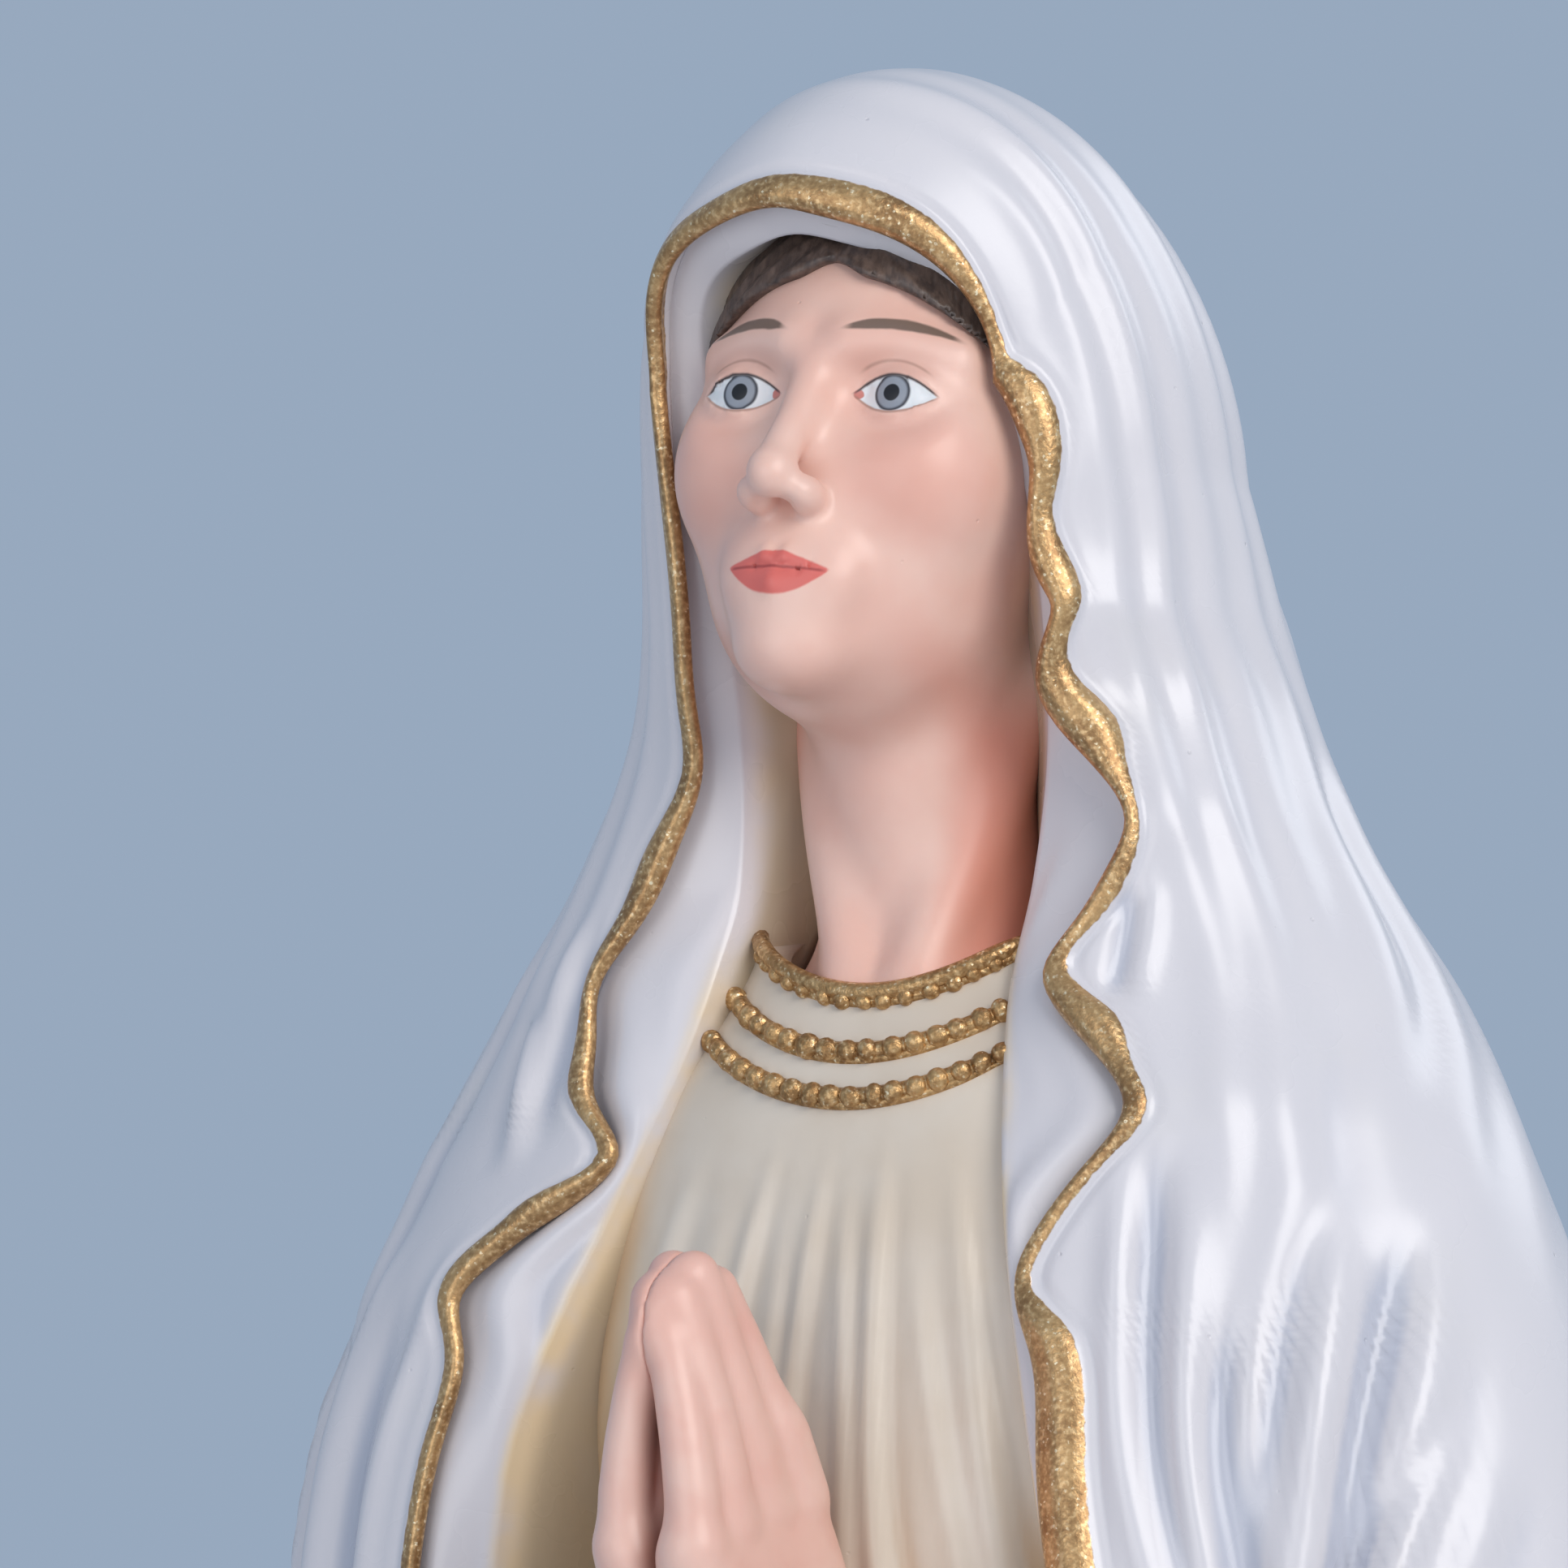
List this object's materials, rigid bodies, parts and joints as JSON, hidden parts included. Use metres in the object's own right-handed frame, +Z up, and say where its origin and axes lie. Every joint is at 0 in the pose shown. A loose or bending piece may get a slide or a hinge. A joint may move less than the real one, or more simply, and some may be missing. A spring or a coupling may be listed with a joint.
{
  "type": "madonna statue",
  "caption": "Hand-painted cast madonna with joined hands in a white mantle with a wavy gold hem, 600 mm tall on a round plinth.",
  "frame": {"origin": "middle of the underside of the felt pad", "axes": "+Z up, the figure faces -Y, its left hand side is +X"},
  "size_m": [0.1796, 0.152, 0.6],
  "materials": {
    "mantle_white": "gloss",
    "dress_cream": "satin",
    "skin_paint": "satin",
    "hair_paint": "satin",
    "gilding": "satin",
    "sash_blue": "satin",
    "rock_paint": "matte",
    "plinth_paint": "satin",
    "felt": "matte",
    "plywood": "matte",
    "steel": "satin"
  },
  "bodies": {
    "root": {"felt_pad": "felt", "plinth": "plinth_paint", "rock_mound": "rock_paint", "foot_left": "skin_paint", "foot_right": "skin_paint", "skirt": "dress_cream", "bodice": "dress_cream", "sash_band": "sash_blue", "sash_knot": "sash_blue", "sash_tails": "sash_blue", "sleeve_left": "dress_cream", "sleeve_right": "dress_cream", "hand_left": "skin_paint", "hand_right": "skin_paint", "wrist_dowel_left": "steel", "wrist_dowel_right": "steel", "neck": "skin_paint", "head": "skin_paint", "hair": "hair_paint", "neck_dowel": "steel", "neckline_beading": "gilding", "inner_veil": "mantle_white", "mantle": "mantle_white", "tie_rod": "steel", "rod_plate": "plywood", "rod_washers": "steel", "rod_nuts": "steel"}
  },
  "joints": []
}
